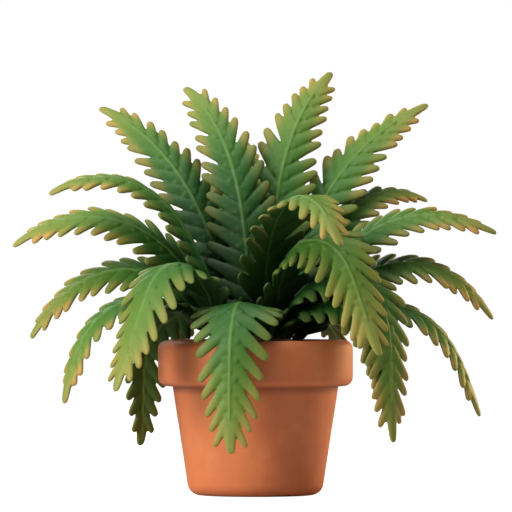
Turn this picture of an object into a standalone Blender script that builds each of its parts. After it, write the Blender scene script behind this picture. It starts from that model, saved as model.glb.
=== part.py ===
"""Potted fern: a clay pot of potting mix, a crown, and fronds that arch out of it. Metres, +Z up.

The origin is the centre of the pot's base. +X is the right of the plant's front, and its front faces -Y.
"""

import math

import bmesh
import bpy
from mathutils import Vector

# The pot, a turned clay shell. Radii and heights are of its outside unless named otherwise.
POT_HEIGHT = 0.155
RIM_RADIUS = 0.0975
RIM_BAND = 0.046
RIM_ROUND = 0.009
BODY_TOP_RADIUS = 0.083
BODY_FOOT_RADIUS = 0.0665
FOOT_ROUND = 0.011
WALL = 0.008
FLOOR = 0.009
LIP_ROUND = 0.004
DRAIN_RADIUS = 0.010
NECK_ROUND = 0.005
POT_STEPS = 48

# The potting mix, and the crown (the short rootstock) that the fronds grow from.
GAP = 0.0003
MIX_DEPTH_BELOW_RIM = 0.010
MIX_RISE = 0.003
CROWN_RADIUS = 0.050
CROWN_HEIGHT = 0.012
MIX_STEPS = 32

# What every frond has: pairs of lobes on one midrib, on a short bare stalk.
LOBE_PITCH = 0.0178
STALK_SHARE = 0.06
END_LOBE_SHARE = 0.10
STALK_HALF_WIDTH = 0.0022
WEB_SHARE = 0.22
FROND_THICKNESS = 0.0022
LOBE_ANGLE_AT_STALK = 62.0
LOBE_ANGLE_AT_TIP = 26.0
SHOULDER_SHARE = 0.66
LOBE_FILL = 0.43
CAMBER = 0.26
LOWEST_LOBES = 0.40
HIGHEST_LOBES = 0.26
END_LOBE_FLANK = 0.55
FULLEST_AT = 0.30
TAPER_CURVE = 1.0
ROLL_FULL_AT = 0.35
SPINE_STEPS = 28
RIM_DRAWN_FOR = 0.0975

# One row for each frond. azimuth: the way it leans, anticlockwise from +X, in degrees. ring: how far from
# the axis its stalk stands. length: along the midrib. rise and dip: the slope at its foot and at its tip,
# in degrees above the horizon. bend_from and bend_to: the shares of its length between which it turns from
# one slope to the other. roll: turns its face about the midrib, positive raising the side on the left of
# someone looking outwards from the crown. breadth: from the midrib to the tips of its longest lobes.
# The lengths are for a rim of RIM_DRAWN_FOR. Over a wider one all fronds are longer, so that they clear it.
FRONDS = {
    "frond_back_left_outer": dict(azimuth=144, ring=0.012, length=0.302, rise=66, dip=18,
                                  bend_from=0.20, bend_to=1.20, roll=-38, breadth=0.034),
    "frond_back_left_inner": dict(azimuth=130, ring=0.002, length=0.282, rise=82, dip=18,
                                  bend_from=0.25, bend_to=1.30, roll=-38, breadth=0.035),
    "frond_back_right_inner": dict(azimuth=59, ring=0.019, length=0.312, rise=82, dip=20,
                                   bend_from=0.20, bend_to=1.20, roll=28, breadth=0.0355),
    "frond_back_right_outer": dict(azimuth=36, ring=0.021, length=0.316, rise=68, dip=16,
                                   bend_from=0.10, bend_to=1.20, roll=32, breadth=0.033),
    "frond_left_high": dict(azimuth=195, ring=0.019, length=0.276, rise=62, dip=-32,
                            bend_from=0.32, bend_to=1.10, roll=-26, breadth=0.028),
    "frond_left_upper": dict(azimuth=182.4, ring=0.029, length=0.272, rise=58, dip=-39,
                             bend_from=0.14, bend_to=1.12, roll=-32, breadth=0.032),
    "frond_left_lower": dict(azimuth=176, ring=0.032, length=0.246, rise=60, dip=-58,
                             bend_from=-0.08, bend_to=1.05, roll=-35, breadth=0.031),
    "frond_left_low": dict(azimuth=201, ring=0.043, length=0.233, rise=51, dip=-76,
                           bend_from=-0.08, bend_to=0.95, roll=-14, breadth=0.027),
    "frond_left_hanging": dict(azimuth=150, ring=0.038, length=0.210, rise=55, dip=-88,
                               bend_from=-0.10, bend_to=0.70, roll=33, breadth=0.029),
    "frond_left_behind": dict(azimuth=142, ring=0.034, length=0.176, rise=52, dip=-12,
                              bend_from=0.10, bend_to=1.00, roll=-10, breadth=0.018),
    "frond_front_left": dict(azimuth=221, ring=0.040, length=0.256, rise=64, dip=-66,
                             bend_from=0.15, bend_to=0.64, roll=-5, breadth=0.040),
    "frond_front_hanging": dict(azimuth=259, ring=0.034, length=0.232, rise=60, dip=-88,
                                bend_from=-0.05, bend_to=0.66, roll=0, breadth=0.039),
    "frond_front_right": dict(azimuth=318, ring=0.020, length=0.268, rise=78, dip=-66,
                              bend_from=0.12, bend_to=0.74, roll=25, breadth=0.041),
    "frond_front_crest": dict(azimuth=304, ring=0.010, length=0.254, rise=83, dip=-56,
                              bend_from=0.22, bend_to=1.00, roll=10, breadth=0.038),
    "frond_right_hanging": dict(azimuth=333, ring=0.025, length=0.286, rise=64, dip=-88,
                                bend_from=0.00, bend_to=0.72, roll=26, breadth=0.036),
    "frond_right_hanging_behind": dict(azimuth=332, ring=0.028, length=0.192, rise=55, dip=-84,
                                       bend_from=-0.10, bend_to=0.90, roll=22, breadth=0.028),
    "frond_right_low": dict(azimuth=2, ring=0.044, length=0.252, rise=44, dip=-71,
                            bend_from=-0.08, bend_to=0.92, roll=22, breadth=0.027),
    "frond_right_lower": dict(azimuth=6, ring=0.041, length=0.246, rise=46, dip=-57,
                              bend_from=0.14, bend_to=1.05, roll=30, breadth=0.031),
    "frond_right_upper": dict(azimuth=6, ring=0.034, length=0.266, rise=57.5, dip=-29,
                              bend_from=0.16, bend_to=1.10, roll=30, breadth=0.031),
    "frond_right_high": dict(azimuth=34, ring=0.036, length=0.250, rise=59, dip=-22,
                             bend_from=0.40, bend_to=1.05, roll=30, breadth=0.028),
    "frond_rear_upright": dict(azimuth=94, ring=0.029, length=0.222, rise=76, dip=36,
                               bend_from=0.20, bend_to=1.20, roll=-4, breadth=0.028),
    "frond_rear_left_upright": dict(azimuth=112, ring=0.035, length=0.196, rise=68, dip=20,
                                    bend_from=0.30, bend_to=1.20, roll=-25, breadth=0.027),
    "frond_rear_hanging": dict(azimuth=92, ring=0.038, length=0.188, rise=52, dip=-86,
                               bend_from=-0.05, bend_to=0.72, roll=0, breadth=0.029),
    "frond_rear_right": dict(azimuth=80, ring=0.034, length=0.138, rise=61, dip=-66,
                             bend_from=0.00, bend_to=0.95, roll=0, breadth=0.027),
    "frond_rear_left": dict(azimuth=123, ring=0.040, length=0.160, rise=54, dip=-70,
                            bend_from=0.00, bend_to=0.95, roll=0, breadth=0.027),
    "frond_rear_far_right": dict(azimuth=56, ring=0.044, length=0.140, rise=46, dip=-52,
                                 bend_from=0.00, bend_to=0.95, roll=0, breadth=0.026),
}


def length_of(frond):
    return frond["length"] * RIM_RADIUS / RIM_DRAWN_FOR


def slope_at(frond, share):
    """The midrib's slope above the horizon in radians, that share of the way along it."""
    turned = (share - frond["bend_from"]) / (frond["bend_to"] - frond["bend_from"])
    turned = min(max(turned, 0.0), 1.0)
    turned = turned * turned * (3 - 2 * turned)
    return math.radians(frond["rise"] + (frond["dip"] - frond["rise"]) * turned)


def spine_points(frond):
    """Points down the midrib, from where the stalk leaves the crown to the tip."""
    heading = math.radians(frond["azimuth"])
    ring = frond["ring"]
    point = Vector((ring * math.cos(heading), ring * math.sin(heading), crown_height_at(ring)))
    point.z += GAP + FROND_THICKNESS
    points = [point.copy()]
    for step in range(SPINE_STEPS):
        share = (step + 0.5) / SPINE_STEPS
        slope = slope_at(frond, share)
        outward = math.cos(slope)
        way = Vector((outward * math.cos(heading), outward * math.sin(heading), math.sin(slope)))
        point = point + way * length_of(frond) / SPINE_STEPS
        points.append(point)
    return points


def mix_top_at(radius):
    """Height of the potting mix's gently domed top, that far from the axis."""
    share = min(radius / mix_edge_radius(), 1.0)
    return POT_HEIGHT - MIX_DEPTH_BELOW_RIM + MIX_RISE * (1 - share**2)


def mix_edge_radius():
    return inner_radius_at(POT_HEIGHT - MIX_DEPTH_BELOW_RIM) - GAP


def inner_radius_at(height):
    """The pot's inside radius: a wall's thickness in from the body's slope, carried on up through the rim."""
    return outer_radius_at(height) - WALL


def outer_radius_at(height):
    """The body's outside radius on its straight slope, from the foot to the rim's underside."""
    top = POT_HEIGHT - RIM_BAND
    return BODY_FOOT_RADIUS + (BODY_TOP_RADIUS - BODY_FOOT_RADIUS) * height / top


def crown_height_at(radius):
    share = min(radius / CROWN_RADIUS, 1.0)
    return mix_top_at(0) + GAP + CROWN_HEIGHT * math.sqrt(max(0.0, 1 - share**2))


def arc(centre, radius, start, end, steps):
    """Points on an arc of a profile, angles in degrees from +X towards +Z."""
    found = []
    for step in range(steps + 1):
        angle = math.radians(start + (end - start) * step / steps)
        found.append((centre[0] + radius * math.cos(angle), centre[1] + radius * math.sin(angle)))
    return found


def material(name, colour, roughness):
    made = bpy.data.materials.new(name)
    made.use_nodes = True
    shader = made.node_tree.nodes["Principled BSDF"]
    shader.inputs["Base Color"].default_value = (*colour, 1)
    shader.inputs["Roughness"].default_value = roughness
    shader.inputs["Metallic"].default_value = 0
    return made


def turned(name, profile, steps, look, collection):
    """A solid of revolution about Z, from a profile that ends on the axis or where it began."""
    mesh = bpy.data.meshes.new(name)
    closed = profile[0][0] > 0 and profile[-1][0] > 0
    edges = [(i, i + 1) for i in range(len(profile) - 1)]
    if closed:
        edges.append((len(profile) - 1, 0))
    mesh.from_pydata([(x, 0, z) for x, z in profile], edges, [])
    made = bpy.data.objects.new(name, mesh)
    collection.objects.link(made)
    screw = made.modifiers.new("turn", "SCREW")
    screw.steps = screw.render_steps = steps
    screw.use_merge_vertices = True
    screw.merge_threshold = 0.00001
    screw.use_smooth_shade = True
    mesh.materials.append(look)
    return made


def pot_profile():
    """Down the outside of the pot from its lip, across its foot to the drain hole, and up the inside."""
    band_foot = POT_HEIGHT - RIM_BAND
    lip = arc((RIM_RADIUS - RIM_ROUND, POT_HEIGHT - RIM_ROUND), RIM_ROUND, 90, 0, 4)
    skirt = arc((RIM_RADIUS - RIM_ROUND, band_foot + RIM_ROUND), RIM_ROUND, 0, -90, 4)
    neck_x = outer_radius_at(band_foot - NECK_ROUND)
    neck = arc((neck_x + NECK_ROUND, band_foot - NECK_ROUND), NECK_ROUND, 90, 180, 2)
    foot_x = outer_radius_at(FOOT_ROUND)
    foot = arc((foot_x - FOOT_ROUND, FOOT_ROUND), FOOT_ROUND, 0, -90, 4)
    drain = [(DRAIN_RADIUS, 0), (DRAIN_RADIUS, FLOOR), (inner_radius_at(FLOOR), FLOOR)]
    lip_x = inner_radius_at(POT_HEIGHT - LIP_ROUND)
    inner_lip = arc((lip_x + LIP_ROUND, POT_HEIGHT - LIP_ROUND), LIP_ROUND, 180, 90, 2)
    return lip + skirt + neck + foot + drain + inner_lip


def make_pot(collection):
    return turned("pot", pot_profile(), POT_STEPS, material("clay", (0.72, 0.22, 0.07), 0.7), collection)


def make_mix(collection):
    """The potting mix: it fills the pot from its floor, with a gently domed top."""
    edge = mix_edge_radius()
    top = [(edge * share, mix_top_at(edge * share)) for share in (0, 0.35, 0.7, 1)]
    floor = FLOOR + GAP
    profile = top + [(inner_radius_at(floor) - GAP, floor), (0, floor)]
    look = material("potting mix", (0.05, 0.03, 0.02), 0.95)
    return turned("potting_mix", profile, MIX_STEPS, look, collection)


def make_crown(collection):
    shares = (0, 0.3, 0.55, 0.75, 0.9, 1)
    top = [(CROWN_RADIUS * share, crown_height_at(CROWN_RADIUS * share)) for share in shares]
    profile = top + [(0, mix_top_at(0) + GAP)]
    return turned("crown", profile, MIX_STEPS, material("rootstock", (0.10, 0.06, 0.03), 0.9), collection)


def envelope(share):
    """How far the lobes reach at that share of the blade, as a part of the longest."""
    rising = LOWEST_LOBES + (1 - LOWEST_LOBES) * math.sin(math.pi / 2 * min(share / FULLEST_AT, 1.0))
    taper = 1 - (1 - HIGHEST_LOBES) * max(0.0, (share - FULLEST_AT) / (1 - FULLEST_AT)) ** TAPER_CURVE
    return rising * taper


def half_blade(frond):
    """The flat right half of a frond along +X, open at the midrib, built by extruding each lobe from it."""
    length = length_of(frond)
    stalk = STALK_SHARE * length
    blade = length * (1 - STALK_SHARE - END_LOBE_SHARE)
    pairs = round(blade / LOBE_PITCH)
    pitch = blade / pairs
    breadth = frond["breadth"]
    shape = bmesh.new()
    web = [(stalk + pitch * i, WEB_SHARE * breadth * envelope(i / pairs)) for i in range(pairs + 1)]
    web[0] = (stalk, STALK_HALF_WIDTH)
    rib = [shape.verts.new((0, 0, 0)), *(shape.verts.new((x, 0, 0)) for x, _ in web)]
    side = [shape.verts.new((0, STALK_HALF_WIDTH, 0)), *(shape.verts.new((x, y, 0)) for x, y in web)]
    for i in range(len(rib) - 1):
        shape.faces.new((rib[i], rib[i + 1], side[i + 1], side[i]))
    tip = shape.verts.new((length, 0, 0))
    flank_back = END_LOBE_FLANK * END_LOBE_SHARE * length
    flank = shape.verts.new((length - flank_back, END_LOBE_FLANK * LOBE_FILL * pitch, 0))
    shape.faces.new((rib[-1], tip, flank, side[-1]))
    for i in range(pairs):
        share = (i + 0.5) / pairs
        angle = math.radians(LOBE_ANGLE_AT_STALK + (LOBE_ANGLE_AT_TIP - LOBE_ANGLE_AT_STALK) * share)
        reach = breadth * envelope(share)
        foot = Vector((stalk + pitch * (i + 0.5), 0, 0))
        way = Vector((math.cos(angle), math.sin(angle), 0))
        across = Vector((math.sin(angle), -math.cos(angle), 0))
        end = foot + way * reach / math.sin(angle)
        middle = foot + way * SHOULDER_SHARE * reach / math.sin(angle)
        half = LOBE_FILL * pitch * math.sin(angle)
        root = shape.edges.get((side[i + 1], side[i + 2])) or shape.edges.new((side[i + 1], side[i + 2]))
        grown = bmesh.ops.extrude_edge_only(shape, edges=[root])["geom"]
        corners = sorted((g for g in grown if isinstance(g, bmesh.types.BMVert)), key=lambda v: v.co.x)
        corners[0].co = middle - across * half
        corners[1].co = middle + across * half
        shape.faces.new((corners[0], corners[1], shape.verts.new(end)))
    for vertex in shape.verts:
        vertex.co.z = -CAMBER * vertex.co.y * abs(vertex.co.y) / breadth
    bmesh.ops.recalc_face_normals(shape, faces=shape.faces)
    if sum(face.normal.z for face in shape.faces) < 0:
        bmesh.ops.reverse_faces(shape, faces=shape.faces)
    mesh = bpy.data.meshes.new("blade")
    shape.to_mesh(mesh)
    shape.free()
    return mesh


def make_spine(name, frond, guides):
    curve = bpy.data.curves.new(name + "_spine", "CURVE")
    curve.dimensions = "3D"
    curve.twist_mode = "Z_UP"
    points = spine_points(frond)
    spline = curve.splines.new("POLY")
    spline.points.add(len(points) - 1)
    for i, (target, point) in enumerate(zip(spline.points, points)):
        target.co = (*point, 1)
        target.tilt = math.radians(frond["roll"]) * min(1.0, i / SPINE_STEPS / ROLL_FULL_AT)
    spine = bpy.data.objects.new(name + "_spine", curve)
    guides.objects.link(spine)
    spine.hide_render = True
    spine.display_type = "WIRE"
    return spine


def make_frond(name, frond, look, collection, guides):
    made = bpy.data.objects.new(name, half_blade(frond))
    collection.objects.link(made)
    made.data.materials.append(look)
    mirror = made.modifiers.new("both halves", "MIRROR")
    mirror.use_axis = (False, True, False)
    mirror.merge_threshold = 0.00005
    thick = made.modifiers.new("thickness", "SOLIDIFY")
    thick.thickness = FROND_THICKNESS
    thick.offset = 0
    bend = made.modifiers.new("arch", "CURVE")
    bend.object = make_spine(name, frond, guides)
    bend.deform_axis = "POS_X"
    return made


def main():
    for old in list(bpy.data.objects):
        bpy.data.objects.remove(old)
    collection = bpy.data.collections.new("potted_fern")
    guides = bpy.data.collections.new("guides")
    for made in (collection, guides):
        bpy.context.scene.collection.children.link(made)
    make_pot(collection)
    make_mix(collection)
    make_crown(collection)
    look = material("leaf", (0.10, 0.26, 0.04), 0.5)
    for name, frond in FRONDS.items():
        make_frond(name, frond, look, collection, guides)


main()
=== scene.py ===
import math
import random

import bpy
from mathutils import Matrix, Vector


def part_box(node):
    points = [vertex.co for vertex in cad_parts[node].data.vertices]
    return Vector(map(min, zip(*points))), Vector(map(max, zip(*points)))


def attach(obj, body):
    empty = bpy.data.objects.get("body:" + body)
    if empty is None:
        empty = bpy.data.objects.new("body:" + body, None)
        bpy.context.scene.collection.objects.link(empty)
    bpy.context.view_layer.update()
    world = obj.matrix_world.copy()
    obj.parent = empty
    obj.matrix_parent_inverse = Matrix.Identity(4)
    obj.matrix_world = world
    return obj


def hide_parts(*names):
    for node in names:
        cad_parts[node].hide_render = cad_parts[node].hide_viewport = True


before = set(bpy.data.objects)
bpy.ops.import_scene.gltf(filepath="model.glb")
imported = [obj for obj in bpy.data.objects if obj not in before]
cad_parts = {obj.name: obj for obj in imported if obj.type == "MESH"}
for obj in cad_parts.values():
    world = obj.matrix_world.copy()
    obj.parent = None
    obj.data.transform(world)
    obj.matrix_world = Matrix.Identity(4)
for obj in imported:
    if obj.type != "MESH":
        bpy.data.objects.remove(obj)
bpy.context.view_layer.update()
print("frame loaded")


def clearSelection():
    bpy.ops.object.select_all(action="DESELECT")


def pick(piece):
    clearSelection()
    piece.select_set(True)
    bpy.context.view_layer.objects.active = piece


def added(name):
    piece = bpy.context.object
    piece.name = name
    piece.data.name = name
    return piece


def edit(piece, mode="VERT"):
    pick(piece)
    bpy.ops.object.mode_set(mode="EDIT")
    bpy.ops.mesh.select_mode(type=mode)


def done():
    bpy.ops.object.mode_set(mode="OBJECT")


def chooseWhere(piece, test, kind="vertices"):  # selects by place; called and left in edit mode
    bpy.ops.mesh.select_all(action="DESELECT")
    done()
    for part in getattr(piece.data, kind):
        spot = part.co if kind == "vertices" else part.center
        part.select = test(spot)
    bpy.ops.object.mode_set(mode="EDIT")


def applyAll(piece):
    pick(piece)
    for modifier in list(piece.modifiers):
        bpy.ops.object.modifier_apply(modifier=modifier.name)


def settle(piece):  # the object to the origin, its place into its mesh
    pick(piece)
    bpy.ops.object.transform_apply(location=True, rotation=True, scale=True)


def joinAll(pieces, name):
    clearSelection()
    for piece in pieces:
        piece.select_set(True)
    bpy.context.view_layer.objects.active = pieces[0]
    bpy.ops.object.join()
    return added(name)


def copyOf(piece, place):  # a copy with its own mesh, put in place
    made = piece.copy()
    made.data = piece.data.copy()
    made.data.transform(place)
    bpy.context.collection.objects.link(made)
    return made


def throwAway(piece):
    bpy.data.objects.remove(piece)


cameraSetup = {"place": (0.0005, -6.0, 0.239), "lens": 421.5, "sensor": 36.0, "farthest": 60}


def makeCamera(setup):
    bpy.ops.object.camera_add(location=setup["place"], rotation=(math.radians(90), 0, 0))
    camera = bpy.context.object
    camera.data.lens = setup["lens"]
    camera.data.sensor_width = setup["sensor"]
    camera.data.clip_end = setup["farthest"]
    bpy.context.scene.camera = camera


makeCamera(cameraSetup)

lightSetup = {
    # place, size, watts, colour
    "keyLight": ((-2.0, -1.4, 1.2), 1.2, 78, (1.0, 0.95, 0.88)),
    "topLight": ((0.0, -0.45, 2.4), 1.3, 38, (1.0, 0.99, 0.95)),
    "warmRim": ((1.5, 1.25, 0.50), 0.7, 32, (1.0, 0.62, 0.30)),
    "backFill": ((-0.7, 2.3, 1.1), 1.4, 34, (1.0, 0.98, 0.94)),
}
roomSetup = {
    "background": 1.0,
    "glow": 0.13,  # how much the room itself lights the plant
    "glowColour": (0.92, 0.96, 1.0),
    "lampsAim": (0.0, 0.0, 0.22),
    "floor": (0.5, 0.5, 0.5),
    "floorGlow": 0.95,
    "floorSize": 30,
    "floorDrop": 0.0005,
}


def makeLights(lights, room):
    middle = Vector(room["lampsAim"])
    for name, (place, size, watts, colour) in lights.items():
        aim = (middle - Vector(place)).to_track_quat("-Z", "Y").to_euler()
        bpy.ops.object.light_add(type="AREA", location=place, rotation=aim)
        light = bpy.context.object
        light.name = name
        light.data.size = size
        light.data.energy = watts
        light.data.color = colour
    world = bpy.data.worlds.new("paleRoom")
    world.use_nodes = True
    nodes = world.node_tree.nodes
    links = world.node_tree.links
    seen = nodes["Background"]
    seen.inputs["Color"].default_value = (1, 1, 1, 1)
    seen.inputs["Strength"].default_value = room["background"]
    glow = nodes.new("ShaderNodeBackground")
    glow.inputs["Color"].default_value = (*room["glowColour"], 1)
    glow.inputs["Strength"].default_value = room["glow"]
    path = nodes.new("ShaderNodeLightPath")
    blend = nodes.new("ShaderNodeMixShader")
    links.new(path.outputs["Is Camera Ray"], blend.inputs[0])
    links.new(glow.outputs[0], blend.inputs[1])
    links.new(seen.outputs[0], blend.inputs[2])
    links.new(blend.outputs[0], nodes["World Output"].inputs["Surface"])
    bpy.context.scene.world = world
    bpy.context.scene.view_settings.view_transform = "Standard"


makeLights(lightSetup, roomSetup)


def newFinish(name, roughness):
    finish = bpy.data.materials.new(name)
    finish.use_nodes = True
    shader = finish.node_tree.nodes["Principled BSDF"]
    shader.inputs["Roughness"].default_value = roughness
    return finish, finish.node_tree.nodes, finish.node_tree.links, shader


def grain(nodes, links, scale, detail):
    spot = nodes.new("ShaderNodeTexCoord")
    noise = nodes.new("ShaderNodeTexNoise")
    noise.inputs["Scale"].default_value = scale
    noise.inputs["Detail"].default_value = detail
    links.new(spot.outputs["Object"], noise.inputs["Vector"])
    return noise.outputs["Fac"]


def ramp(nodes, links, value, stops):
    scale = nodes.new("ShaderNodeValToRGB")
    scale.color_ramp.interpolation = "B_SPLINE" if len(stops) > 3 else "LINEAR"
    while len(scale.color_ramp.elements) < len(stops):
        scale.color_ramp.elements.new(0.5)
    for element, (place, colour) in zip(scale.color_ramp.elements, stops):
        element.position = place
        element.color = (*colour, 1)
    links.new(value, scale.inputs["Fac"])
    return scale.outputs["Color"]


def fade(nodes, links, value, low, high):  # 0 up to low, 1 from high on
    spread = nodes.new("ShaderNodeMapRange")
    spread.interpolation_type = "SMOOTHSTEP"
    spread.inputs["From Min"].default_value = low
    spread.inputs["From Max"].default_value = high
    links.new(value, spread.inputs["Value"])
    return spread.outputs["Result"]


def combined(nodes, links, first, second, how="MULTIPLY"):
    both = nodes.new("ShaderNodeMath")
    both.operation = how
    both.use_clamp = True
    for socket, value in zip(both.inputs, (first, second)):
        if isinstance(value, (int, float)):
            socket.default_value = value
        else:
            links.new(value, socket)
    return both.outputs[0]


def tint(nodes, links, share, below, above):  # from one colour to the other by the share
    mix = nodes.new("ShaderNodeMix")
    mix.data_type = "RGBA"
    for name, value in (("Factor", share), ("A", below), ("B", above)):
        socket = mix.inputs[name]
        if isinstance(value, bpy.types.NodeSocket):
            links.new(value, socket)
        elif isinstance(value, tuple):
            socket.default_value = (*value, 1)
        else:
            socket.default_value = value
    return mix.outputs["Result"]


def bumped(nodes, links, shader, height, strength, distance):
    bump = nodes.new("ShaderNodeBump")
    bump.inputs["Strength"].default_value = strength
    bump.inputs["Distance"].default_value = distance
    links.new(height, bump.inputs["Height"])
    links.new(bump.outputs["Normal"], shader.inputs["Normal"])


clayLook = {
    "fired": (0.66, 0.190, 0.062),
    "burnt": (0.54, 0.140, 0.044),
    "dusty": (0.74, 0.250, 0.095),
    "grime": (0.26, 0.062, 0.022),  # painted shadow of the rim, on the body just under it
    "rimShadowBand": (0.099, 0.1085, 0.113),  # heights where it starts, is darkest and ends
    "grimy": 0.75,
    "burntSpan": (0.35, 0.75),  # between which values of the grain it sets in
    "dustSpan": (0.5, 0.8),
    "dustiness": 0.45,
    "roughness": 0.62,
    "smoother": 0.08,  # how far the roughness goes down and up from that
    "rougher": 0.12,
    "patchGrain": 11,  # a higher grain is a finer one
    "dustGrain": 34,
    "poreGrain": 420,
    "poreStrength": 0.12,
    "poreDepth": 0.0006,
}


def clayFinish(look):
    finish, nodes, links, shader = newFinish("firedClay", look["roughness"])
    patches = grain(nodes, links, look["patchGrain"], 4)
    burnt = fade(nodes, links, patches, *look["burntSpan"])
    colour = tint(nodes, links, burnt, look["fired"], look["burnt"])
    dust = grain(nodes, links, look["dustGrain"], 5)
    dust = fade(nodes, links, dust, *look["dustSpan"])
    dust = combined(nodes, links, dust, look["dustiness"])
    colour = tint(nodes, links, dust, colour, look["dusty"])
    # painted shadow: the body darkened in a band just under the rim, darkest at the neck
    spot = nodes.new("ShaderNodeTexCoord")
    split = nodes.new("ShaderNodeSeparateXYZ")
    links.new(spot.outputs["Object"], split.inputs[0])
    height = split.outputs["Z"]
    low, neck, high = look["rimShadowBand"]
    below = fade(nodes, links, height, low, neck)
    above = fade(nodes, links, height, high, neck)
    rimShadowBand = combined(nodes, links, combined(nodes, links, below, above), look["grimy"])
    colour = tint(nodes, links, rimShadowBand, colour, look["grime"])
    links.new(colour, shader.inputs["Base Color"])
    pores = grain(nodes, links, look["poreGrain"], 4)
    dry = nodes.new("ShaderNodeMapRange")
    dry.inputs["To Min"].default_value = look["roughness"] - look["smoother"]
    dry.inputs["To Max"].default_value = look["roughness"] + look["rougher"]
    links.new(patches, dry.inputs["Value"])
    links.new(dry.outputs["Result"], shader.inputs["Roughness"])
    bumped(nodes, links, shader, pores, look["poreStrength"], look["poreDepth"])
    return finish


soilLook = {
    "wet": (0.012, 0.008, 0.005),
    "dry": (0.060, 0.038, 0.022),
    "roughness": 0.95,
    "crumbGrain": 160,
    "crumbStrength": 0.6,
    "crumbDepth": 0.001,
}


def soilFinish(look):
    finish, nodes, links, shader = newFinish("pottingMix", look["roughness"])
    crumbs = grain(nodes, links, look["crumbGrain"], 6)
    colour = ramp(nodes, links, crumbs, ((0.35, look["wet"]), (0.7, look["dry"])))
    links.new(colour, shader.inputs["Base Color"])
    bumped(nodes, links, shader, crumbs, look["crumbStrength"], look["crumbDepth"])
    return finish


rootLook = {
    "dark": (0.035, 0.020, 0.010),
    "light": (0.16, 0.095, 0.040),
    "roughness": 0.8,
    "fibreGrain": 120,
    "fibreStrength": 0.4,
    "fibreDepth": 0.0008,
}


def rootFinish(look):
    finish, nodes, links, shader = newFinish("rootstockScales", look["roughness"])
    fibres = grain(nodes, links, look["fibreGrain"], 5)
    colour = ramp(nodes, links, fibres, ((0.3, look["dark"]), (0.75, look["light"])))
    links.new(colour, shader.inputs["Base Color"])
    bumped(nodes, links, shader, fibres, look["fibreStrength"], look["fibreDepth"])
    return finish


leafLook = {
    "heart": (0.004, 0.032, 0.005),  # painted shade in the heart of the plant, by the crown
    "deep": (0.012, 0.075, 0.012),
    "middle": (0.044, 0.145, 0.017),
    "outer": (0.130, 0.225, 0.028),
    "tip": (0.31, 0.26, 0.060),
    "ripe": (0.44, 0.26, 0.070),  # the warm edge of an ageing lobe
    # the leaf's lower face: partly its own duller olive, partly painted shade
    "under": (0.020, 0.070, 0.010),
    "rib": (0.11, 0.24, 0.050),
    "patchGrain": 26,
    "mottleGrain": 130,
    "patchy": 0.25,  # how far patches shift the colour along the frond
    "patchSpan": (0.28, 0.62),
    "paleEdge": 0.45,
    "paleSpan": (0.45, 1.05),  # from the midrib at 0 to the lobes' ends at 1
    "ripeSpan": (0.66, 1.12),
    "flecked": 0.16,
    "fleckSpan": (0.45, 0.85),
    "underTint": 0.75,
    "ribTint": 0.55,
    "ribSpan": (-0.1, 0.5),
    "mottleStrength": 0.10,
    "mottleDepth": 0.0006,
    "roughness": 0.55,
    "gloss": 0.28,
    "lightInside": 0.12,  # how much light goes through, how far and in which colour
    "insideDepth": 0.004,
    "insideColour": (0.25, 0.6, 0.1),
}


leafFacts = ("leafAlong", "leafEdge", "leafUnder", "leafRib", "leafRipe")  # written on each frond


def leafFinish(look):
    finish, nodes, links, shader = newFinish("fernLeaf", look["roughness"])
    known = {}
    for name in leafFacts:
        fact = nodes.new("ShaderNodeAttribute")
        fact.attribute_name = name
        known[name] = fact.outputs["Fac"]
    along, edge = known["leafAlong"], known["leafEdge"]
    patches = grain(nodes, links, look["patchGrain"], 4)
    mottle = grain(nodes, links, look["mottleGrain"], 5)
    shift = combined(nodes, links, patches, 0.5, "SUBTRACT")
    shift = combined(nodes, links, shift, look["patchy"])
    # darker towards the crown: painted shade in the plant's heart; paler and warmer towards the
    # tips, the fronds' own colour
    stops = (
        (0.02, look["heart"]),
        (0.34, look["deep"]),
        (0.60, look["middle"]),
        (0.84, look["outer"]),
        (1.0, look["tip"]),
    )
    colour = ramp(nodes, links, combined(nodes, links, along, shift, "ADD"), stops)
    pale = fade(nodes, links, edge, *look["paleSpan"])
    pale = combined(nodes, links, pale, look["paleEdge"])
    colour = tint(nodes, links, combined(nodes, links, pale, along), colour, look["tip"])
    flecks = fade(nodes, links, mottle, *look["fleckSpan"])
    flecks = combined(nodes, links, flecks, look["flecked"])
    colour = tint(nodes, links, flecks, colour, look["outer"])
    ripe = fade(nodes, links, edge, *look["ripeSpan"])
    ripe = combined(nodes, links, ripe, known["leafRipe"])
    ripe = combined(nodes, links, ripe, fade(nodes, links, patches, *look["patchSpan"]))
    colour = tint(nodes, links, ripe, colour, look["ripe"])
    # the lower face of the leaf darker: partly its own duller olive, partly painted shade
    below = combined(nodes, links, known["leafUnder"], look["underTint"])
    colour = tint(nodes, links, below, colour, look["under"])
    rib = combined(nodes, links, known["leafRib"], look["ribTint"])
    rib = combined(nodes, links, rib, fade(nodes, links, along, *look["ribSpan"]))
    colour = tint(nodes, links, rib, colour, look["rib"])
    links.new(colour, shader.inputs["Base Color"])
    bumped(nodes, links, shader, mottle, look["mottleStrength"], look["mottleDepth"])
    shader.inputs["Specular IOR Level"].default_value = look["gloss"]
    shader.inputs["Subsurface Weight"].default_value = look["lightInside"]
    shader.inputs["Subsurface Radius"].default_value = look["insideColour"]
    shader.inputs["Subsurface Scale"].default_value = look["insideDepth"]
    return finish


clay = clayFinish(clayLook)
soil = soilFinish(soilLook)
root = rootFinish(rootLook)
leaf = leafFinish(leafLook)
print("finishes mixed")


potSize = {  # lengths in metres; widths are radii
    "sides": 128,
    "drain": 0.010,
    "floor": 0.009,
    "foot": 0.0665,
    "neck": 0.083,
    "rim": 0.0975,
    "rimBand": 0.046,
    "height": 0.155,
    "wall": 0.008,
    "rows": 6,  # rings of faces up the wall
}
potRounding = {  # how far each corner's rounding reaches
    "rimTop": 0.009,
    "rimFoot": 0.009,
    "neck": 0.0012,
    "foot": 0.0105,
    "lip": 0.0035,
    "floor": 0.006,
    "steps": 7,
}


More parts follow.
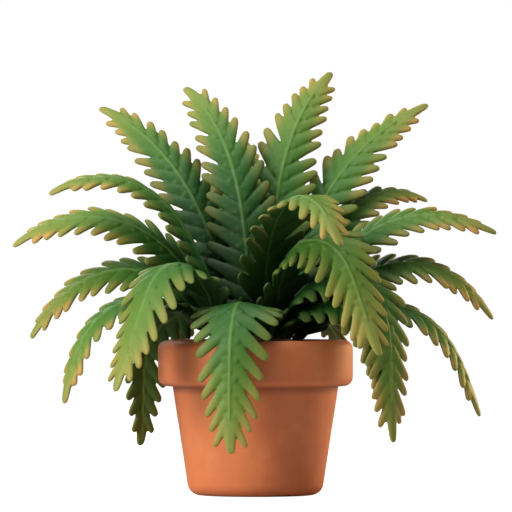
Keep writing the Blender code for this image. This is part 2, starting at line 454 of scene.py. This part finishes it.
def makePot(size, rounding):
    bandFoot = size["height"] - size["rimBand"]
    flare = (size["neck"] - size["foot"]) * size["rimBand"] / bandFoot
    innerTop = size["neck"] - size["wall"] + flare
    innerFoot = size["foot"] - size["wall"]
    rings = [
        # radius, height, rows of faces to get there
        (size["foot"], 0, 2),
        (size["neck"], bandFoot, size["rows"]),
        (size["rim"], bandFoot, 1),
        (size["rim"], size["height"], 3),
        (innerTop, size["height"], 1),
        (innerFoot, size["floor"], size["rows"]),
        (size["drain"], size["floor"], 2),
    ]
    bpy.ops.mesh.primitive_circle_add(
        vertices=size["sides"], radius=size["drain"], fill_type="NOTHING"
    )
    pot = added("clayPot")
    edit(pot, "EDGE")
    bpy.ops.mesh.select_all(action="SELECT")
    radius, height = size["drain"], 0
    for wide, high, rows in rings:  # draw the wall up and over, ring after ring
        for row in range(rows):
            nextRadius = radius + (wide - radius) / (rows - row)
            step = (high - height) / (rows - row)
            bpy.ops.mesh.extrude_edges_move(TRANSFORM_OT_translate={"value": (0, 0, step)})
            grow = nextRadius / radius
            bpy.ops.transform.resize(value=(grow, grow, 1), center_override=(0, 0, 0))
            radius, height = nextRadius, height + step
    chooseWhere(pot, lambda spot: spot.xy.length < size["drain"] * 1.02)
    bpy.ops.mesh.select_mode(type="EDGE")
    bpy.ops.mesh.bridge_edge_loops()
    corners = (
        (size["rim"], size["height"], rounding["rimTop"]),
        (size["rim"], bandFoot, rounding["rimFoot"]),
        (size["neck"], bandFoot, rounding["neck"]),
        (size["foot"], 0, rounding["foot"]),
        (innerTop, size["height"], rounding["lip"]),
        (innerFoot, size["floor"], rounding["floor"]),
    )
    for wide, high, reach in corners:
        bpy.ops.mesh.select_mode(type="VERT")
        chooseWhere(
            pot, lambda spot: abs(spot.xy.length - wide) < 0.0006 and abs(spot.z - high) < 0.0004
        )
        bpy.ops.mesh.select_mode(type="EDGE")
        bpy.ops.mesh.bevel(
            offset=reach,
            segments=rounding["steps"],
            profile=0.5,
            affect="EDGES",
            clamp_overlap=False,
        )
    bpy.ops.mesh.select_all(action="SELECT")
    bpy.ops.mesh.remove_doubles(threshold=0.00005)
    bpy.ops.mesh.normals_make_consistent(inside=False)
    done()
    bpy.ops.object.shade_smooth_by_angle(angle=math.radians(50))
    pot.data.materials.append(clay)
    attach(pot, "root")
    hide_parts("pot")


makePot(potSize, potRounding)
print("pot turned")


mixShape = {
    "top": 0.1452,
    "dome": 0.0028,
    "floor": 0.0096,
    "clear": 0.0006,  # kept free between the mix and the pot
    "taper": 0.97,  # of the part below the surface
    "lumps": (("clods", 0.012, 0.0030), ("grit", 0.003, 0.0016)),  # name, spread, height
    "crumbs": 190,
    "crumbSize": (0.0007, 0.0021),
    "crumbsFrom": 0.045,  # nearer the axis the crown covers them
    "crumbLift": 0.0004,
    "crumbRough": 0.22,
    "seed": 7,
}


def makeMix(shape):
    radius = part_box("potting_mix")[1].x - shape["clear"]
    top = shape["top"]
    centre = (0, 0, top)
    bpy.ops.mesh.primitive_uv_sphere_add(
        segments=120, ring_count=72, radius=radius, location=centre
    )
    bed = added("pottingMix")
    settle(bed)
    edit(bed)
    chooseWhere(bed, lambda spot: spot.z > top + 0.00001)
    bpy.ops.transform.resize(value=(1, 1, shape["dome"] / radius), center_override=centre)
    chooseWhere(bed, lambda spot: spot.z < top - 0.00001)
    deep = (top - shape["floor"]) / radius
    bpy.ops.transform.resize(
        value=(shape["taper"], shape["taper"], deep), center_override=centre
    )
    done()
    upper = bed.vertex_groups.new(name="surface")
    upper.add([v.index for v in bed.data.vertices if v.co.z > top - 0.001], 1, "REPLACE")
    for name, spread, strength in shape["lumps"]:
        pattern = bpy.data.textures.new(name, "CLOUDS")
        pattern.noise_scale = spread
        lumps = bed.modifiers.new(name, "DISPLACE")
        lumps.texture = pattern
        lumps.direction = "Z"
        lumps.mid_level = 0.62
        lumps.strength = strength
        lumps.vertex_group = "surface"
    applyAll(bed)
    rng = random.Random(shape["seed"])
    bpy.ops.mesh.primitive_ico_sphere_add(subdivisions=2, radius=1)
    crumb = added("crumb")
    edit(crumb)
    bpy.ops.mesh.select_all(action="SELECT")
    bpy.ops.transform.vertex_random(offset=shape["crumbRough"], seed=3)
    done()
    crumbs = [bed]
    for _ in range(shape["crumbs"]):
        way = rng.uniform(0, 2 * math.pi)
        out = rng.uniform(shape["crumbsFrom"], radius - 0.004)
        size = rng.uniform(*shape["crumbSize"])
        spot = (out * math.cos(way), out * math.sin(way), top + shape["crumbLift"])
        place = Matrix.Translation(spot)
        turn = Matrix.Rotation(rng.uniform(0, 6), 4, "X")
        turn = turn @ Matrix.Rotation(rng.uniform(0, 6), 4, "Z")
        squash = (size, size * rng.uniform(0.6, 1), size * rng.uniform(0.5, 0.9), 1)
        squash = Matrix.Diagonal(squash)
        crumbs.append(copyOf(crumb, place @ turn @ squash))
    throwAway(crumb)
    bed = joinAll(crumbs, "pottingMix")
    bpy.ops.object.shade_smooth()
    bed.data.materials.append(soil)
    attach(bed, "root")
    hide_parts("potting_mix")


makeMix(mixShape)
print("potting mix filled")


crownShape = {
    "knobWidth": 0.94,  # the bare knob against the crown's box
    "knobHeight": 0.85,
    "lift": 0.001,
    "rows": 6,
    "rowsFrom": 0.15,  # where the first row is and how far the rows reach from there
    "rowsWidth": 0.80,
    "rowsOut": 0.86,  # shares of the crown's radius and height
    "rowsUp": 0.80,
    "scaleLength": 0.017,
    "scaleWidth": 0.0062,
    "scaleStart": (0.4, 0.8, 0.16),
    "scaleSteps": ((0.35, 1.15, 0.85), (0.25, 0.55, 0.6)),  # reach, widening, thinning
    "shorten": 0.35,  # the outermost scales against the inner ones
    "droop": (10, 30, 8),  # degrees: inside, added outside, strayed by
    "seed": 11,
}


def makeCrown(shape):
    low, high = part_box("crown")
    radius, height = high.x, high.z - low.z
    bpy.ops.mesh.primitive_uv_sphere_add(segments=64, ring_count=32, radius=1, location=(0, 0, 0))
    knob = added("fernCrown")
    edit(knob)
    bpy.ops.mesh.select_all(action="SELECT")
    wide = radius * shape["knobWidth"]
    bpy.ops.transform.resize(value=(wide, wide, height * shape["knobHeight"]))
    chooseWhere(knob, lambda spot: spot.z < 0)
    bpy.ops.transform.resize(value=(1, 1, 0.3), center_override=(0, 0, 0))
    bpy.ops.mesh.select_all(action="SELECT")
    bpy.ops.transform.translate(value=(0, 0, low.z + shape["lift"]))
    done()
    bpy.ops.mesh.primitive_cube_add(size=1)
    scale = added("scale")  # one papery scale, lying along +X
    edit(scale, "FACE")
    bpy.ops.mesh.select_all(action="SELECT")
    bpy.ops.transform.resize(value=shape["scaleStart"])
    for step, widen, sink in shape["scaleSteps"]:
        done()
        end = max(face.center.x for face in scale.data.polygons)
        bpy.ops.object.mode_set(mode="EDIT")
        chooseWhere(scale, lambda spot: spot.x > end - 0.001, "polygons")
        bpy.ops.mesh.extrude_region_move(TRANSFORM_OT_translate={"value": (step, 0, 0.04)})
        bpy.ops.transform.resize(value=(1, widen, sink))
    done()
    soften = scale.modifiers.new("soften", "SUBSURF")
    soften.levels = soften.render_levels = 1
    applyAll(scale)
    rng = random.Random(shape["seed"])
    scales = [knob]
    for row in range(shape["rows"]):
        out = shape["rowsFrom"] + shape["rowsWidth"] * row / (shape["rows"] - 1)
        count = 5 + 5 * row
        for i in range(count):
            way = 2 * math.pi * (i + 0.5 * (row % 2) + rng.uniform(-0.2, 0.2)) / count
            away = out * radius * shape["rowsOut"]
            spot = Vector((away * math.cos(way), away * math.sin(way), 0))
            rise = height * shape["rowsUp"] * math.sqrt(1 - out**2)
            spot.z = low.z + shape["lift"] + rise
            inner, outer, stray = shape["droop"]
            droop = math.radians(inner + outer * out + rng.uniform(-stray, stray))
            size = rng.uniform(0.8, 1.1)
            turn = Matrix.Rotation(way, 4, "Z") @ Matrix.Rotation(droop, 4, "Y")
            wide = shape["scaleWidth"] * size
            long = shape["scaleLength"] * size * (1 - shape["shorten"] * out)
            shrink = Matrix.Diagonal((long, wide, wide, 1))
            scales.append(copyOf(scale, Matrix.Translation(spot) @ turn @ shrink))
    throwAway(scale)
    knob = joinAll(scales, "fernCrown")
    bpy.ops.object.shade_smooth()
    knob.data.materials.append(root)
    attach(knob, "root")
    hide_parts("crown")


makeCrown(crownShape)
print("crown scaled")


leafletShape = {
    # along, towards the tip, half width, half height, droop: shares of the leaflet's own size
    "sections": (
        (-0.12, 0.00, 0.58, 0.30, 0.00),
        (0.08, 0.00, 0.68, 0.76, 0.00),
        (0.33, 0.00, 0.59, 1.00, 0.00),
        (0.58, 0.03, 0.50, 1.00, -0.02),
        (0.84, 0.08, 0.445, 0.90, -0.05),
        (1.04, 0.13, 0.30, 0.56, -0.08),
    ),
    "smooth": 2,
}
frondBuild = {
    "pitch": 0.0178,  # from one pair of leaflets to the next
    "stalk": 0.05,  # the bare foot, a share of the length
    "lift": 0.0025,  # how far it stands off the crown
    "endLeaflet": 0.085,  # the single one at the tip, a share of the length
    "endLong": 1.6,  # and how long, wide and thick it is
    "endWide": 0.68,
    "endThick": 0.44,
    "footAngle": 66,  # how far the leaflets stand off the midrib, degrees
    "tipAngle": 30,
    "footReach": 0.85,  # the lowest leaflets against the longest
    "tipReach": 0.30,
    "fullAt": 0.16,
    "taper": 1.5,  # above 1 the leaflets stay long further out
    "thickness": 0.0062,
    "overreach": 1.17,  # the leaflets' round ends stand a little past the flat ones
    "droop": 10,
    "setBack": 0.4,  # the leaflets' feet, a share of the pitch
    "wander": 3,  # how far single leaflets stray, degrees
    "uneven": 0.05,  # and how far in length, a share of it
    "ribFoot": 0.0020,
    "ribTip": 0.0014,
    "ribEnd": 0.86,  # a share of the length
    "ribDeep": 1.75,  # depth against width
    "grain": 0.00115,  # size of the cells that weld leaflets and midrib into one skin
    "relax": 3,
    "rollFullAt": 0.35,
    "spineSteps": 56,
    "seed": 23,
}


def modelLeaflet(shape):
    bpy.ops.mesh.primitive_cube_add(size=1)
    blade = added("leaflet")
    first = shape["sections"][0]
    edit(blade, "FACE")
    bpy.ops.mesh.select_all(action="SELECT")
    bpy.ops.transform.resize(value=(0.02, 2 * first[2], 2 * first[3]))
    bpy.ops.transform.translate(value=(first[0] - 0.01, 0, 0))
    chooseWhere(blade, lambda spot: spot.x > first[0] - 0.001, "polygons")
    last = first
    for section in shape["sections"][1:]:  # pull the end face out, section by section
        pull = (section[0] - last[0], section[1] - last[1], section[4] - last[4])
        bpy.ops.mesh.extrude_region_move(TRANSFORM_OT_translate={"value": pull})
        centre = (section[0], section[1], section[4])
        grow = (1, section[2] / last[2], section[3] / last[3])
        bpy.ops.transform.resize(value=grow, center_override=centre)
        last = section
    done()
    soften = blade.modifiers.new("soften", "SUBSURF")
    soften.levels = soften.render_levels = shape["smooth"]
    applyAll(blade)
    return blade


def reachAt(share, build):  # how long the leaflets are there, against the longest
    rising = build["footReach"] + (1 - build["footReach"]) * min(share / build["fullAt"], 1)
    past = max(0.0, (share - build["fullAt"]) / (1 - build["fullAt"]))
    return rising * (1 - (1 - build["tipReach"]) * past ** build["taper"])


def flatFrond(leaflet, name, frond, build, rng):
    length, breadth = frond["length"], frond["breadth"]
    stalk = build["stalk"] * length
    blade = length * (1 - build["stalk"] - build["endLeaflet"])
    pairs = max(8, round(blade / build["pitch"]))
    pitch = blade / pairs
    bpy.ops.mesh.primitive_cylinder_add(
        vertices=12, radius=1, depth=1, rotation=(0, math.radians(90), 0)
    )
    rib = added(name)
    settle(rib)
    edit(rib)
    chooseWhere(rib, lambda spot: spot.x > 0)
    taper = build["ribTip"] / build["ribFoot"]
    bpy.ops.transform.resize(value=(1, taper, taper), center_override=(0.5, 0, 0))
    bpy.ops.mesh.select_all(action="SELECT")
    end = length * build["ribEnd"]
    ribSize = (end + 0.004, build["ribFoot"], build["ribFoot"] * build["ribDeep"])
    bpy.ops.transform.resize(value=ribSize)
    bpy.ops.transform.translate(value=(end / 2 - 0.002, 0, 0))
    done()
    parts = [rib]
    wander, uneven = build["wander"], build["uneven"]
    for i in range(pairs):
        share = (i + 0.5) / pairs
        for side in (1, -1):
            angle = build["footAngle"] + (build["tipAngle"] - build["footAngle"]) * share
            angle = math.radians(angle + rng.uniform(-wander, wander))
            reach = breadth * reachAt(share, build) * build["overreach"]
            reach = reach * rng.uniform(1 - uneven, 1 + uneven)
            spacing = pitch * math.sin(angle)
            high = build["thickness"] / 2 * (0.85 + 0.15 * reach / breadth)  # short ones thinner
            size = Matrix.Diagonal((reach / math.sin(angle), side * -spacing, high, 1))
            lie = Matrix.Rotation(side * angle, 4, "Z")
            sag = math.radians(build["droop"] + rng.uniform(-wander, wander))
            sag = Matrix.Rotation(-side * sag, 4, "X")
            foot = stalk + pitch * (i + 0.5) - pitch * build["setBack"]
            foot = Matrix.Translation((foot, 0, 0))
            parts.append(copyOf(leaflet, foot @ sag @ lie @ size))
    endLong = length * build["endLeaflet"] * build["endLong"]
    endThick = build["thickness"] * build["endThick"]
    size = Matrix.Diagonal((endLong, pitch * build["endWide"], endThick, 1))
    parts.append(copyOf(leaflet, Matrix.Translation((length - endLong, 0, 0)) @ size))
    flat = joinAll(parts, name)
    edit(flat)
    bpy.ops.mesh.select_all(action="SELECT")
    bpy.ops.mesh.normals_make_consistent(inside=False)
    done()
    weld = flat.modifiers.new("weld", "REMESH")
    weld.mode = "VOXEL"
    weld.voxel_size = build["grain"]
    relax = flat.modifiers.new("relax", "SMOOTH")
    relax.factor = 0.5
    relax.iterations = build["relax"]
    applyAll(flat)
    return flat


leafMarks = {
    "endFrom": 0.9,  # from here the frond's end counts as its edge
    "endGain": 8,
    "edgeLimit": 1.2,
    "underGain": 1.4,
    "ribLimit": 1.6,
    "ripeGain": 1.7,  # lobes ripen from a third of the way out
    "ripeDelay": 0.55,
}


def clamped(value):
    return min(max(value, 0), 1)


def markFrond(flat, frond, build, marks):  # where each point is on the frond, for the leaf finish
    mesh = flat.data
    facts = {name: [] for name in leafFacts}
    for vertex in mesh.vertices:
        spot = vertex.co
        along = clamped(spot.x / frond["length"])
        blade = 1 - build["stalk"] - build["endLeaflet"]
        reach = frond["breadth"] * reachAt(clamped((along - build["stalk"]) / blade), build)
        edge = min(abs(spot.y) / reach, marks["edgeLimit"])
        ribWide = build["ribFoot"] + (build["ribTip"] - build["ribFoot"]) * along
        # the frond's painted light and shade shifts it along the colour ramp, most near its foot
        facts["leafAlong"].append(along + frond["tone"] * (1 - along**3))
        facts["leafEdge"].append(max(edge, (along - marks["endFrom"]) * marks["endGain"]))
        facts["leafUnder"].append(clamped(-vertex.normal.z * marks["underGain"]))
        facts["leafRib"].append(clamped(marks["ribLimit"] - abs(spot.y) / ribWide))
        ripened = clamped(along * marks["ripeGain"] - marks["ripeDelay"])
        facts["leafRipe"].append(frond["ripe"] * ripened)
    for name, values in facts.items():
        fact = mesh.attributes.new(name, "FLOAT", "POINT")
        fact.data.foreach_set("value", values)


def slopeAt(frond, share):
    turned = clamped((share - frond["bendFrom"]) / (frond["bendTo"] - frond["bendFrom"]))
    turned = turned * turned * (3 - 2 * turned)
    return math.radians(frond["rise"] + (frond["dip"] - frond["rise"]) * turned)


def drawSpine(name, frond, build, crownTop, crownRadius, crownHeight):
    way = math.radians(frond["azimuth"])
    out = frond["ring"]
    spot = Vector((out * math.cos(way), out * math.sin(way), 0))
    below = crownHeight * (1 - math.sqrt(1 - (out / crownRadius) ** 2))
    spot.z = crownTop - below + build["lift"]
    steps = build["spineSteps"]
    curve = bpy.data.curves.new(name + "Spine", "CURVE")
    curve.dimensions = "3D"
    curve.twist_mode = "Z_UP"
    spline = curve.splines.new("POLY")
    spline.points.add(steps)
    for i, point in enumerate(spline.points):
        point.co = (*spot, 1)
        point.tilt = math.radians(frond["roll"]) * min(1.0, i / steps / build["rollFullAt"])
        slope = slopeAt(frond, (i + 0.5) / steps)
        outward = math.cos(slope)
        ahead = Vector((outward * math.cos(way), outward * math.sin(way), math.sin(slope)))
        spot = spot + ahead * (frond["length"] / steps)
    spine = bpy.data.objects.new(name + "Spine", curve)
    bpy.context.collection.objects.link(spine)
    return spine


# azimuth: the way it leans, anticlockwise from +X. ring: how far from the axis it stands.
# rise and dip: the slope at its foot and tip, degrees. bendFrom, bendTo: between which shares of
# its length it turns. roll: about its midrib. breadth: the reach of its longest leaflets.
# ripe: how far its edges have turned warm. The last number is painted light and shade: below 0
# painted shade, a deeper green, and above 0 painted light, a paler one.
fronds = {
    "frond_back_left_outer": {
        "azimuth": 144, "ring": 0.012, "length": 0.302, "rise": 66, "dip": 18,
        "bendFrom": 0.2, "bendTo": 1.2, "roll": -38, "breadth": 0.034, "ripe": 0.7, "tone": -0.28,
    },
    "frond_back_left_inner": {
        "azimuth": 130, "ring": 0.002, "length": 0.282, "rise": 82, "dip": 18,
        "bendFrom": 0.25, "bendTo": 1.3, "roll": -38, "breadth": 0.035, "ripe": 0.55, "tone": -0.23,
    },
    "frond_back_right_inner": {
        "azimuth": 59, "ring": 0.019, "length": 0.312, "rise": 82, "dip": 20,
        "bendFrom": 0.2, "bendTo": 1.2, "roll": 28, "breadth": 0.0355, "ripe": 0.55, "tone": 0,
    },
    "frond_back_right_outer": {
        "azimuth": 36, "ring": 0.021, "length": 0.316, "rise": 68, "dip": 16,
        "bendFrom": 0.1, "bendTo": 1.2, "roll": 32, "breadth": 0.033, "ripe": 0.9, "tone": -0.02,
    },
    "frond_left_high": {
        "azimuth": 195, "ring": 0.019, "length": 0.276, "rise": 62, "dip": -32,
        "bendFrom": 0.32, "bendTo": 1.1, "roll": -26, "breadth": 0.028, "ripe": 0.8, "tone": -0.04,
    },
    "frond_left_upper": {
        "azimuth": 182.4, "ring": 0.029, "length": 0.272, "rise": 58, "dip": -39,
        "bendFrom": 0.14, "bendTo": 1.12, "roll": -32, "breadth": 0.032, "ripe": 0.9, "tone": 0.04,
    },
    "frond_left_lower": {
        "azimuth": 176, "ring": 0.032, "length": 0.246, "rise": 60, "dip": -58,
        "bendFrom": -0.08, "bendTo": 1.05, "roll": -35, "breadth": 0.031, "ripe": 0.9, "tone": 0.1,
    },
    "frond_left_low": {
        "azimuth": 201, "ring": 0.043, "length": 0.233, "rise": 51, "dip": -76,
        "bendFrom": -0.08, "bendTo": 0.95, "roll": -14, "breadth": 0.027, "ripe": 0.9, "tone": 0,
    },
    "frond_left_hanging": {
        "azimuth": 150, "ring": 0.038, "length": 0.21, "rise": 55, "dip": -88,
        "bendFrom": -0.1, "bendTo": 0.7, "roll": 33, "breadth": 0.029, "ripe": 0.3, "tone": 0,
    },
    "frond_left_behind": {
        "azimuth": 142, "ring": 0.034, "length": 0.176, "rise": 52, "dip": -12,
        "bendFrom": 0.1, "bendTo": 1, "roll": -10, "breadth": 0.018, "ripe": 0.4, "tone": 0,
    },
    "frond_front_left": {
        "azimuth": 221, "ring": 0.04, "length": 0.256, "rise": 64, "dip": -66,
        "bendFrom": 0.15, "bendTo": 0.64, "roll": -5, "breadth": 0.04, "ripe": 0.25, "tone": 0.05,
    },
    "frond_front_hanging": {
        "azimuth": 259, "ring": 0.034, "length": 0.232, "rise": 60, "dip": -88,
        "bendFrom": -0.05, "bendTo": 0.66, "roll": 0, "breadth": 0.039, "ripe": 0.2, "tone": -0.01,
    },
    "frond_front_right": {
        "azimuth": 318, "ring": 0.02, "length": 0.268, "rise": 78, "dip": -66,
        "bendFrom": 0.12, "bendTo": 0.74, "roll": 25, "breadth": 0.041, "ripe": 0.18, "tone": 0.13,
    },
    "frond_front_crest": {
        "azimuth": 304, "ring": 0.01, "length": 0.254, "rise": 83, "dip": -56,
        "bendFrom": 0.22, "bendTo": 1, "roll": 10, "breadth": 0.038, "ripe": 0.6, "tone": 0.02,
    },
    "frond_right_hanging": {
        "azimuth": 333, "ring": 0.025, "length": 0.286, "rise": 64, "dip": -88,
        "bendFrom": 0, "bendTo": 0.72, "roll": 26, "breadth": 0.036, "ripe": 0.7, "tone": 0.04,
    },
    "frond_right_hanging_behind": {
        "azimuth": 332, "ring": 0.028, "length": 0.192, "rise": 55, "dip": -84,
        "bendFrom": -0.1, "bendTo": 0.9, "roll": 22, "breadth": 0.028, "ripe": 0.8, "tone": 0,
    },
    "frond_right_low": {
        "azimuth": 2, "ring": 0.044, "length": 0.252, "rise": 44, "dip": -71,
        "bendFrom": -0.08, "bendTo": 0.92, "roll": 22, "breadth": 0.027, "ripe": 1, "tone": 0,
    },
    "frond_right_lower": {
        "azimuth": 6, "ring": 0.041, "length": 0.246, "rise": 46, "dip": -57,
        "bendFrom": 0.14, "bendTo": 1.05, "roll": 30, "breadth": 0.031, "ripe": 1, "tone": 0.1,
    },
    "frond_right_upper": {
        "azimuth": 6, "ring": 0.034, "length": 0.266, "rise": 57.5, "dip": -29,
        "bendFrom": 0.16, "bendTo": 1.1, "roll": 30, "breadth": 0.031, "ripe": 1, "tone": 0,
    },
    "frond_right_high": {
        "azimuth": 34, "ring": 0.036, "length": 0.25, "rise": 59, "dip": -22,
        "bendFrom": 0.4, "bendTo": 1.05, "roll": 30, "breadth": 0.028, "ripe": 1, "tone": 0,
    },
    "frond_rear_upright": {
        "azimuth": 94, "ring": 0.029, "length": 0.222, "rise": 76, "dip": 36,
        "bendFrom": 0.2, "bendTo": 1.2, "roll": -4, "breadth": 0.028, "ripe": 0.4, "tone": 0,
    },
    "frond_rear_left_upright": {
        "azimuth": 112, "ring": 0.035, "length": 0.196, "rise": 68, "dip": 20,
        "bendFrom": 0.3, "bendTo": 1.2, "roll": -25, "breadth": 0.027, "ripe": 0.4, "tone": 0,
    },
    "frond_rear_hanging": {
        "azimuth": 92, "ring": 0.038, "length": 0.188, "rise": 52, "dip": -86,
        "bendFrom": -0.05, "bendTo": 0.72, "roll": 0, "breadth": 0.029, "ripe": 0.4, "tone": 0,
    },
    "frond_rear_right": {
        "azimuth": 80, "ring": 0.034, "length": 0.138, "rise": 61, "dip": -66,
        "bendFrom": 0, "bendTo": 0.95, "roll": 0, "breadth": 0.027, "ripe": 0.4, "tone": 0,
    },
    "frond_rear_left": {
        "azimuth": 123, "ring": 0.04, "length": 0.16, "rise": 54, "dip": -70,
        "bendFrom": 0, "bendTo": 0.95, "roll": 0, "breadth": 0.027, "ripe": 0.4, "tone": 0,
    },
    "frond_rear_far_right": {
        "azimuth": 56, "ring": 0.044, "length": 0.14, "rise": 46, "dip": -52,
        "bendFrom": 0, "bendTo": 0.95, "roll": 0, "breadth": 0.026, "ripe": 0.4, "tone": 0,
    },
}


def makeFronds(table, build):
    low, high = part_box("crown")
    rng = random.Random(build["seed"])
    leaflet = modelLeaflet(leafletShape)
    for node, frond in table.items():
        words = node.split("_")
        name = words[0] + "".join(word.capitalize() for word in words[1:])
        flat = flatFrond(leaflet, name, frond, build, rng)
        markFrond(flat, frond, build, leafMarks)
        spine = drawSpine(name, frond, build, high.z, high.x, high.z - low.z)
        arch = flat.modifiers.new("arch", "CURVE")
        arch.object = spine
        arch.deform_axis = "POS_X"
        applyAll(flat)
        throwAway(spine)
        bpy.ops.object.shade_smooth()
        flat.data.materials.append(leaf)
        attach(flat, "root")
        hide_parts(node)
    throwAway(leaflet)


makeFronds(fronds, frondBuild)
print("fronds grown")


def makeFloor(room):
    bpy.ops.mesh.primitive_plane_add(size=room["floorSize"], location=(0, 0, -room["floorDrop"]))
    floor = added("paleFloor")
    finish, nodes, links, shader = newFinish("paleFloor", 0.9)
    shader.inputs["Base Color"].default_value = (*room["floor"], 1)
    shader.inputs["Emission Color"].default_value = (1, 1, 1, 1)
    path = nodes.new("ShaderNodeLightPath")
    shine = combined(nodes, links, path.outputs["Is Camera Ray"], room["floorGlow"])
    links.new(shine, shader.inputs["Emission Strength"])
    floor.data.materials.append(finish)


makeFloor(roomSetup)
